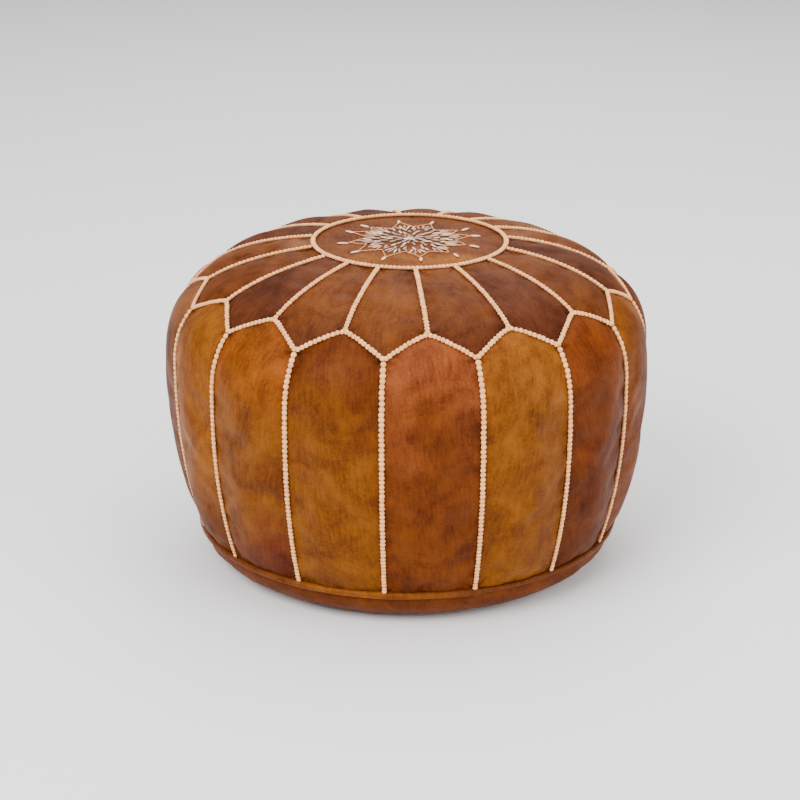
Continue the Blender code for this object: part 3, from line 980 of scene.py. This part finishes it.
def embroider():
    motifs = []
    shape = newYarn()
    for index in range(9):
        satinStitch(shape, 0.0040, index * fullTurn / 9, (0.0078, 0.0021), anyTone())
    for row in range(floss["rows"]):
        motifs.append(laidDown(shape, "motif"))
        shape = newYarn()
        count = floss["rowCount"] + floss["rowMore"] * row
        for index in range(count):
            angle = fullTurn * (index + row * 0.5 + stray(-0.25, 0.25)) / count
            radius = floss["firstRow"] + floss["rowStep"] * row + stray(-0.0013, 0.0013)
            length, turn = 0.0092 * stray(0.75, 1.2), stray(-0.5, 0.5)
            if stray(0, 1) > floss["missing"]:
                satinStitch(shape, radius, angle, (length, 0.0027), anyTone(), turn)
    motifs.append(laidDown(shape, "motif"))

    points = floss["points"]
    spots = [(index + 0.3 + stray(-0.16, 0.16)) * fullTurn / points for index in range(points)]
    tips = [floss["tip"] + stray(-0.004, 0.003) for _ in spots]
    dips = [floss["dip"] + stray(-0.004, 0.004) for _ in spots]
    for index, angle in enumerate(spots):
        shape = newYarn()
        following = (index + 1) % points
        between = (angle + spots[following] + (fullTurn if following == 0 else 0)) / 2
        for spread in (-0.13, -0.045, 0.045, 0.13):
            length = floss["fanLength"] * (1 - abs(spread)) * stray(0.7, 1.1)
            radius = floss["fanRadius"] - abs(spread) * 0.03 + stray(-0.002, 0.002)
            satinStitch(shape, radius, angle + spread, (length, 0.0023), anyTone(), spread * 2.4)
        satinStitch(shape, 0.0405, between, (0.0085, 0.0024), anyTone(), stray(-0.4, 0.4))
        straightRun(shape, (tips[index], angle), (dips[index], between))
        straightRun(shape, (dips[index], between), (tips[following], spots[following]))
        drop = floss["dropRadius"] + stray(-0.0025, 0.0020)
        satinStitch(shape, drop, angle, floss["dropSize"], "white", stray(-0.35, 0.35), 0.0010)
        motifs.append(laidDown(shape, "motif"))
    addPiece("medallion_embroidery", joinStretches(motifs), silkFloss)


embroider()
print("embroidery made")


# the rolled leather piping round the foot

piping = {
    "steps": 540,
    "profile": 12,
    "proud": 0.0036,  # half its depth outwards
    "out": 0.0006,
    "tall": 0.0038,  # half its height
    "lap": 17.4,  # degrees: where the strip's end laps over its start
    "thin": 0.74,
    "grows": 95.0,  # degrees from the thin start to the full size
    "sway": 0.0006,
    "highlightAt": 331.0,  # degrees past the lap where a painted highlight makes the strip paler
    "highlightReach": 27.0,
}


def makePiping():
    # turned with a wide ring, then each point is brought to the foot
    shape = bmesh.new()
    wide = 10
    upright = Matrix.Translation((wide, 0, 0)) @ Matrix.Rotation(math.pi / 2, 4, "X")
    bmesh.ops.create_circle(shape, cap_ends=False, segments=piping["profile"], radius=1.0, matrix=upright)
    turnAbout(shape, shape.verts[:] + shape.edges[:], piping["steps"])
    bmesh.ops.recalc_face_normals(shape, faces=shape.faces)
    places = pointsOf(shape)
    turn = np.arctan2(places[:, 0], -places[:, 1])
    azimuth = np.degrees(turn)
    out = np.hypot(places[:, 0], places[:, 1]) - wide
    up = places[:, 2]
    past = (azimuth - piping["lap"]) % 360.0  # degrees past the lap
    around = np.stack((np.sin(turn), np.cos(turn), up * 0.2), axis=1)
    size = 1 + noiseAt(around, 9.0, 2.0) * 0.10 + noiseAt(around, 34.0, 4.0) * 0.05
    size *= piping["thin"] + (1 - piping["thin"]) * np.clip(past / piping["grows"], 0, 1)
    size *= 1 + 0.16 * np.exp(-((360.0 - past) / 3.0))
    seat = coverPoint(azimuth, weltAt)
    outwards = outwardAt(azimuth, weltAt)
    turn = np.arctan2(seat[:, 0], -seat[:, 1])
    upwards = np.cross(np.stack((np.cos(turn), np.sin(turn), turn * 0), axis=1), outwards)
    upwards *= np.sign(upwards[:, 2:3])
    reach = out * piping["proud"] * size + piping["out"]
    rise = up * piping["tall"] * size + noiseAt(around, 6.0, 7.0) * piping["sway"]
    # a paler band across the front of the piping, a painted highlight; the noise adds random tone
    paintedHighlight = np.exp(-((past - piping["highlightAt"]) / piping["highlightReach"]) ** 2)
    highlightAndTone = np.clip(0.12 + 0.80 * paintedHighlight + noiseAt(around, 5.0, 12.0) * 0.25, 0.0, 1.0)
    # the side against the cover gets the seam darkening, a painted shade in the crease round the piping
    gap = 0.0015 + np.clip(1 + out * 1.2, 0, 2) * 0.006
    piece = addPiece("foot_piping", shape, pipingLeather, stands=("base_welt",))
    final = seat + outwards * reach[:, None] + upwards * rise[:, None]
    dress(piece, final, dyeAlong("walnut tan honey", highlightAndTone), gap)


def makeLapTab():
    # the strip's end, turned down over the joint
    shape = bmesh.new()
    bmesh.ops.create_cube(shape, size=1.0)
    bmesh.ops.subdivide_edges(shape, edges=shape.edges[:], cuts=5, use_grid_fill=True)
    places = pointsOf(shape)
    fromTop = 0.5 - places[:, 2]
    azimuth = piping["lap"] - 0.55 + places[:, 0] * (1.15 - 0.35 * fromTop)
    bulge = 0.0042 * np.sqrt(np.clip(1 - (2 * places[:, 2] * 0.85) ** 2, 0, 1))
    lift = bulge + places[:, 1] * -0.0011 - 0.0004
    piece = addPiece("piping_lap", shape, pipingLeather)
    final = coverPoint(azimuth, weltAt + 0.0060 * fromTop - 0.0008, lift)
    dress(piece, final, dyeAlong("tan walnut rust", fromTop), 0.004)
    soften(piece, 1)


makePiping()
makeLapTab()
print("piping made")


# the base, in two halves with the zip between them

base = {
    "flatOuter": 0.169,
    "flatInner": 0.153,
    "plateauRadius": 0.146,
    "plateauHeight": 0.008,
    "wall": 0.0018,
    "parting": 0.0004,  # each half stops this far from the middle
    "slotHalfLength": 0.134,
    "slotHalfWidth": 0.008,
    "steps": 240,
    "gathers": 0.00216,
    "gathersUpTo": 0.034,
    "creases": 0.0009,
}


def baseProfile():
    # radius and height from the middle, out over the floor ring and up to the piping
    radius, height = outlineAt(np.array([weltAt + cover["weltPipe"] + 0.0006]))
    topRadius, topHeight = float(radius[0]), float(height[0])
    outer, inner = base["flatOuter"], base["flatInner"]
    plateau, plateauHeight = base["plateauRadius"], base["plateauHeight"]
    profile = [(radius, plateauHeight) for radius in np.linspace(0.0, plateau, 22)]
    for share in (0.3, 0.7):
        profile.append((plateau + (inner - plateau) * share, plateauHeight * (1 - eased(share))))
    profile += [(radius, 0.0) for radius in np.linspace(inner, outer, 5)]
    for share in np.linspace(0.0, 1.0, 14)[1:]:
        turn = math.pi / 2 * (1 - share)
        profile.append((outer + (topRadius - outer) * math.cos(turn), topHeight * (1 - math.sin(turn))))
    return profile + [(topRadius - 0.0015, topHeight + 0.003)]


def cutAlong(shape, place, normal, clear=False):
    everything = shape.verts[:] + shape.edges[:] + shape.faces[:]
    bmesh.ops.bisect_plane(shape, geom=everything, plane_co=place, plane_no=normal, clear_outer=clear)


def makeBase():
    halfLength, halfWidth = base["slotHalfLength"], base["slotHalfWidth"]
    for name, side in (("base_panel_front", -1), ("base_panel_back", 1)):
        shape = turnedShape(baseProfile(), base["steps"])
        cutAlong(shape, (0, side * base["parting"], 0), (0, -side, 0), clear=True)
        cutAlong(shape, (0, side * halfWidth, 0), (0, 1, 0))
        for end in (halfLength, -halfLength):
            cutAlong(shape, (end, 0, 0), (1, 0, 0))
        inSlot = []
        for face in shape.faces:
            middle = face.calc_center_median()
            if abs(middle.x) < halfLength and abs(middle.y) < halfWidth:
                inSlot.append(face)
        bmesh.ops.delete(shape, geom=inSlot, context="FACES")
        faceAlike(shape, -1)

        places = pointsOf(shape)
        far = np.hypot(places[:, 0], places[:, 1])
        out = places[:, :2] / np.maximum(far, 1e-6)[:, None]
        rise = np.clip(places[:, 2] / base["gathersUpTo"], 0.0, 1.0) * (far > base["flatOuter"])
        swing = np.column_stack((out * 9.0, places[:, 2] * 20))
        gathered = noiseAt(swing, 1.0, 5.0) + 0.5 * noiseAt(swing, 2.6, 6.0)
        places[:, :2] += out * (gathered * base["gathers"] * np.sin(rise * math.pi))[:, None]
        creased = noiseAt(places * (1, 1, 0), 30.0, 8.0) * base["creases"]
        fromZip = np.abs(places[:, 1])
        inside = (far < base["plateauRadius"]) & (fromZip > halfWidth + 0.001)
        places[:, 2] += np.where(inside, creased * np.clip((fromZip - halfWidth - 0.001) / 0.02, 0, 1), 0.0)

        share = np.clip(far / 0.22, 0, 1) + noiseAt(places, 12.0, 21.0) * 0.2
        spread = np.where(far < base["flatOuter"], far - places[:, 2], far + places[:, 2])
        piece = addPiece(name + "_leather", shape, panelLeather, stands=(name,))
        # the leather darkens towards the zip slot through the seam darkening, part real darkening and part
        # painted shade at the slot
        dress(piece, places, dyeAlong("umber walnut rust", share), fromZip + 0.002)
        setUv(piece.data, "hide", out * spread[:, None] + side * 3.0)
        thicken(piece, base["wall"])


makeBase()
print("base made")


# the zip in the base: two cloth tapes with brass teeth, a slider and its pull

zipper = {
    "tapeHalfLength": 0.140,
    "tapeWidth": 0.0125,
    "tapeLow": 0.0105,
    "tapeThickness": 0.0010,
    "toothPitch": 0.005,
    "teeth": 51,
    "toothRoot": 0.0028,
    "toothTip": 0.0009,
    "toothThickness": 0.0016,
    "sliderRest": 0.108,
    "sliderHalfLength": 0.007,
    "sliderHalfWidth": 0.0045,
    "plates": (0.0090, 0.0101, 0.0125, 0.0136),  # heights of the lower and the upper plate
    "lugLow": 0.0048,
    "lugHalfLength": 0.0041,
    "lugWire": 0.00062,
    "hinge": (0.108, 0.0, 0.00745),
    "droop": 14.0,
    "pullLength": 0.024,
    "pullEye": 0.0062,
    "pullHalfWidth": 0.0035,
    "pullThickness": 0.0012,
}


def roundedBox(shape, low, high, radius, segments=2):
    # a block with rounded edges, between two corners
    block = bmesh.new()
    bmesh.ops.create_cube(block, size=1.0)
    size = [top - bottom for bottom, top in zip(low, high)]
    middle = [(top + bottom) / 2 for bottom, top in zip(low, high)]
    bmesh.ops.scale(block, vec=size, verts=block.verts)
    bmesh.ops.translate(block, vec=middle, verts=block.verts)
    bmesh.ops.bevel(
        block, geom=block.edges[:], offset=radius, segments=segments, profile=0.5,
        affect="EDGES", material=-1, clamp_overlap=True,
    )
    joinInto(shape, laidDown(block, "block"))


def makeTapes():
    low, root, count = zipper["tapeLow"], zipper["toothRoot"], zipper["teeth"]
    for name, side in (("zip_tape_front", -1), ("zip_tape_back", 1)):
        shape = bmesh.new()
        bmesh.ops.create_grid(shape, x_segments=112, y_segments=8, size=1.0)
        places = pointsOf(shape)
        depth = (places[:, 1] + 1) / 2
        x = places[:, 0] * zipper["tapeHalfLength"]
        y = side * (root + zipper["tapeWidth"] * depth)
        wave = noiseAt(np.stack((x, y, x * 0), axis=1), 60.0, 3.0 + side) * 0.0002
        cordBead = 0.0002 * np.exp(-((depth - 0.06) / 0.06) ** 2)
        z = low + 0.0003 + wave * depth - cordBead
        if side < 0:
            bmesh.ops.reverse_faces(shape, faces=shape.faces)
        piece = addPiece(name + "_cloth", shape, tapeCloth, stands=(name,))
        setPoints(piece.data, np.stack((x, y, z), axis=1))
        thicken(piece, zipper["tapeThickness"], 1.0)

        teeth = bmesh.new()
        half = zipper["toothPitch"] * 0.24
        near, far = sorted((side * zipper["toothTip"] * 0.45, side * (root + 0.0012)))
        for index in range(count):
            middle = (index - (count - 1) / 2 + side * 0.25) * zipper["toothPitch"]
            corner = (middle - half, near, low - 0.0001)
            roundedBox(teeth, corner, (middle + half, far, low + zipper["toothThickness"]), 0.00035, 1)
        addPiece(name + "_teeth", teeth, brass)


def makeSlider():
    lowPlate, lowTop, highPlate, highTop = zipper["plates"]
    length, width, middle = zipper["sliderHalfLength"], zipper["sliderHalfWidth"], zipper["sliderRest"]
    shape = bmesh.new()
    for bottom, top in ((lowPlate, lowTop), (highPlate, highTop)):
        plate = bmesh.new()
        bmesh.ops.create_cube(plate, size=1.0)
        bmesh.ops.subdivide_edges(plate, edges=plate.edges[:], cuts=3, use_grid_fill=True)
        for corner in plate.verts:
            # the nose is wider than the tail, and both are rounded
            narrow = 1 - 0.22 * (0.5 - corner.co.x) - 0.55 * max(0.0, abs(corner.co.x) - 0.25) ** 1.5
            corner.co = (
                middle + corner.co.x * 2 * length,
                corner.co.y * 2 * width * narrow,
                (top + bottom) / 2 + corner.co.z * (top - bottom),
            )
        rim = [edge for edge in plate.edges if edge.is_manifold and edge.calc_face_angle() > 1.0]
        bmesh.ops.bevel(plate, geom=rim, offset=0.00025, segments=2, profile=0.5, affect="EDGES", material=-1)
        joinInto(shape, laidDown(plate, "plate"))
    # the post between the plates
    corner = (middle + 0.0030, -0.0005, lowTop - 0.0002)
    roundedBox(shape, corner, (middle + 0.0060, 0.0005, highPlate + 0.0002), 0.0002)
    addLug(shape, middle, lowPlate)
    addPiece("zip_slider_body", shape, brass, body="slider", stands=("zip_slider",))


def addLug(shape, middle, top):
    # an arched loop under the slider, which the pull hangs from
    loop = bmesh.new()
    rod = zipper["lugWire"]
    outside = Matrix.Translation((zipper["lugHalfLength"] - rod, 0, 0))
    bmesh.ops.create_circle(loop, cap_ends=False, segments=10, radius=rod, matrix=outside)
    bmesh.ops.spin(
        loop, geom=loop.verts[:] + loop.edges[:], cent=(0, 0, 0), axis=(0, 1, 0), dvec=(0, 0, 0),
        angle=math.pi, steps=18, use_duplicate=False,
    )
    drop = top - zipper["lugLow"] + 0.0002
    for corner in loop.verts:
        corner.co.x += middle
        corner.co.z = top + 0.0002 - abs(corner.co.z) * drop / zipper["lugHalfLength"]
    bmesh.ops.holes_fill(loop, edges=loop.edges)
    bmesh.ops.recalc_face_normals(loop, faces=loop.faces)
    joinInto(shape, laidDown(loop, "lug"))


def makePull():
    shape = bmesh.new()
    half, width = zipper["pullThickness"] / 2, zipper["pullHalfWidth"]
    length, eye = zipper["pullLength"], zipper["pullEye"]
    roundedBox(shape, (-length, -width, -half), (-eye, width, half), 0.0005, 3)
    # a raised panel on each face, and an arm on each side of the eye
    thin = half * 0.95
    for side in (-1, 1):
        low, high = sorted((side * (half - 0.0001), side * (half + 0.00025)))
        corner = (-length + 0.0022, -width + 0.0013, low)
        roundedBox(shape, corner, (-eye - 0.0022, width - 0.0013, high), 0.0002)
        low, high = sorted((side * 0.0017, side * 0.0027))
        roundedBox(shape, (-eye - 0.0010, low, -thin), (0.0006, high, thin), 0.0003)
    roundedBox(shape, (-0.0007, -0.0025, -thin), (0.0007, 0.0025, thin), 0.0004)
    hang = Matrix.Translation(zipper["hinge"]) @ Matrix.Rotation(-math.radians(zipper["droop"]), 4, "Y")
    bmesh.ops.transform(shape, matrix=hang, verts=shape.verts)
    addPiece("zip_pull_tab", shape, brass, body="pull", stands=("zip_pull",))


tapeCloth = makeCloth("woven_tape", (0.085, 0.040, 0.022), 900.0, 0.00012, (0.05, 0.022, 0.012))
brass = makeBrass("aged_brass")
makeTapes()
makeSlider()
makePull()
print("zip made")


# inside: a cotton bag, open at its mouth, and the filling it holds

stuffing = {
    "bagSink": 0.0085,
    "bagWall": 0.0010,
    "cotton": 0.0006,
    "mouth": 0.045,
    "floor": 0.0165,
    "corner": 0.180,
    "fillGap": 0.0030,
    "gores": 8,
    "steps": 160,
    "middle": (0.0, 0.0, 0.17),
}


def insideProfile(sink, floorHeight):
    outline = [(0.0, cover["widestHeight"] + cover["crownRise"] - sink)]
    for distance in np.linspace(distanceAtRadius(0.02), weltAt, 46):
        radius, height = outlineAt(np.array([distance]), -sink)
        outline.append((float(radius[0]), float(height[0])))
    cornerRadius, cornerHeight = outline[-1]
    for share in np.linspace(0.0, 1.0, 8)[1:]:
        turn = math.pi / 2 * share
        outline.append((
            stuffing["corner"] + (cornerRadius - stuffing["corner"]) * math.cos(turn),
            floorHeight + (cornerHeight - floorHeight) * (1 - math.sin(turn)),
        ))
    return outline


def closedTurn(profile):
    # turned about the upright axis, its lowest faces looking down
    shape = turnedShape(profile, stuffing["steps"])
    bmesh.ops.recalc_face_normals(shape, faces=shape.faces)
    lowest = min(shape.faces, key=lambda face: face.calc_center_median().z)
    if lowest.normal.z > 0:
        bmesh.ops.reverse_faces(shape, faces=shape.faces)
    return shape


def pressIn(places, amount):
    # move points towards the middle of the pouf
    inward = np.array(stuffing["middle"]) - places
    return places + inward / np.maximum(np.linalg.norm(inward, axis=1, keepdims=True), 1e-6) * amount[:, None]


def makeWadding(name):
    material, tree, shader = newMaterial(name, Roughness=0.95, Specular_IOR_Level=0.1, Sheen_Weight=0.4)
    place = objectPlace(tree)
    tufts = noiseNode(place, 60.0, 6.0, 0.7, 1.5)
    fibres = noiseNode(place, 700.0, 3.0, 0.7, 2.0)
    # darker where the tufts lie low, a painted shade between the tufts
    color = ramp(tufts, [
        (0.3, (0.42, 0.37, 0.29)),
        (0.6, (0.72, 0.67, 0.58)),
        (0.8, (0.84, 0.81, 0.74)),
    ])
    wire(shader, color, scaled(fibres, 0.3, tufts), 0.002, 0.7)
    return material


def makeInside():
    cotton = makeCloth("unbleached_cotton", (0.66, 0.59, 0.47), 620.0, 0.00012, (0.50, 0.42, 0.31))
    floor, foot = stuffing["floor"], stuffing["corner"] - 0.02
    profile = insideProfile(stuffing["bagSink"], floor)
    profile += [(radius, floor) for radius in np.linspace(foot, stuffing["mouth"], 9)]
    shape = closedTurn(profile)
    places = pointsOf(shape)
    turn = np.arctan2(places[:, 0], -places[:, 1])
    far = np.hypot(places[:, 0], places[:, 1])
    seam = np.abs(np.sin(turn * stuffing["gores"] / 2))
    seamDip = 0.0008 * np.exp(-(seam / 0.06) ** 2) * np.clip(far / 0.06, 0, 1)
    creases = np.abs(noiseAt(places * (1, 1, 0.4), 38.0, 4.0)) * 0.0014
    bag = addPiece("inner_bag_cotton", shape, cotton, stands=("inner_bag",))
    setPoints(bag.data, pressIn(places, np.where(places[:, 2] > floor + 0.004, seamDip + creases, 0.0)))
    thicken(bag, stuffing["cotton"])

    wadding = makeWadding("cotton_wadding")
    floor = floor + stuffing["bagWall"] + 0.0012
    profile = insideProfile(stuffing["bagSink"] + stuffing["bagWall"] + stuffing["fillGap"], floor)
    profile += [(radius, floor) for radius in np.linspace(foot, 0.0, 14)]
    shape = closedTurn(profile)
    places = pointsOf(shape)
    lumps = np.abs(noiseAt(places, 24.0, 6.0)) * 0.006 + np.abs(noiseAt(places, 70.0, 7.0)) * 0.002
    core = addPiece("filling_wadding", shape, wadding, stands=("filling",))
    setPoints(core.data, pressIn(places, lumps * (places[:, 2] > floor + 0.002)))


makeInside()
print("bag and filling made")


# the studio


def makeStudio():
    floor = bmesh.new()
    bmesh.ops.create_grid(floor, x_segments=1, y_segments=1, size=studio["floorSize"] / 2)
    ground = newObject("floor", laidDown(floor, "floor"))
    ground.location.z = -0.0004
    material, _, shader = newMaterial("floor_paper", Roughness=0.9, Specular_IOR_Level=0.1)
    shader.inputs["Base Color"].default_value = (*studio["floor"], 1.0)
    ground.data.materials.append(material)

    world = bpy.data.worlds.new("studio")
    bpy.context.scene.world = world
    world.use_nodes = True
    sky = world.node_tree.nodes["Background"].inputs
    sky[0].default_value = (1.0, 1.0, 1.0, 1.0)
    sky[1].default_value = studio["sky"]

    aim = Vector(studio["aim"])
    for name, place, size, power in studio["lights"]:
        light = bpy.data.lights.new(name, "AREA")
        light.size = size
        light.energy = power
        lamp = newObject(name, light)
        lamp.location = place
        lamp.rotation_euler = (aim - Vector(place)).to_track_quat("-Z", "Y").to_euler()

    tilt = math.radians(studio["elevation"])
    camera = newObject("camera", bpy.data.cameras.new("camera"))
    back = Vector((0.0, -math.cos(tilt), math.sin(tilt)))
    camera.location = aim + back * studio["distance"]
    camera.rotation_euler = (-back).to_track_quat("-Z", "Y").to_euler()
    camera.data.lens = studio["lens"]
    camera.data.shift_x, camera.data.shift_y = studio["shift"]
    bpy.context.scene.camera = camera


makeStudio()
print("studio ready")
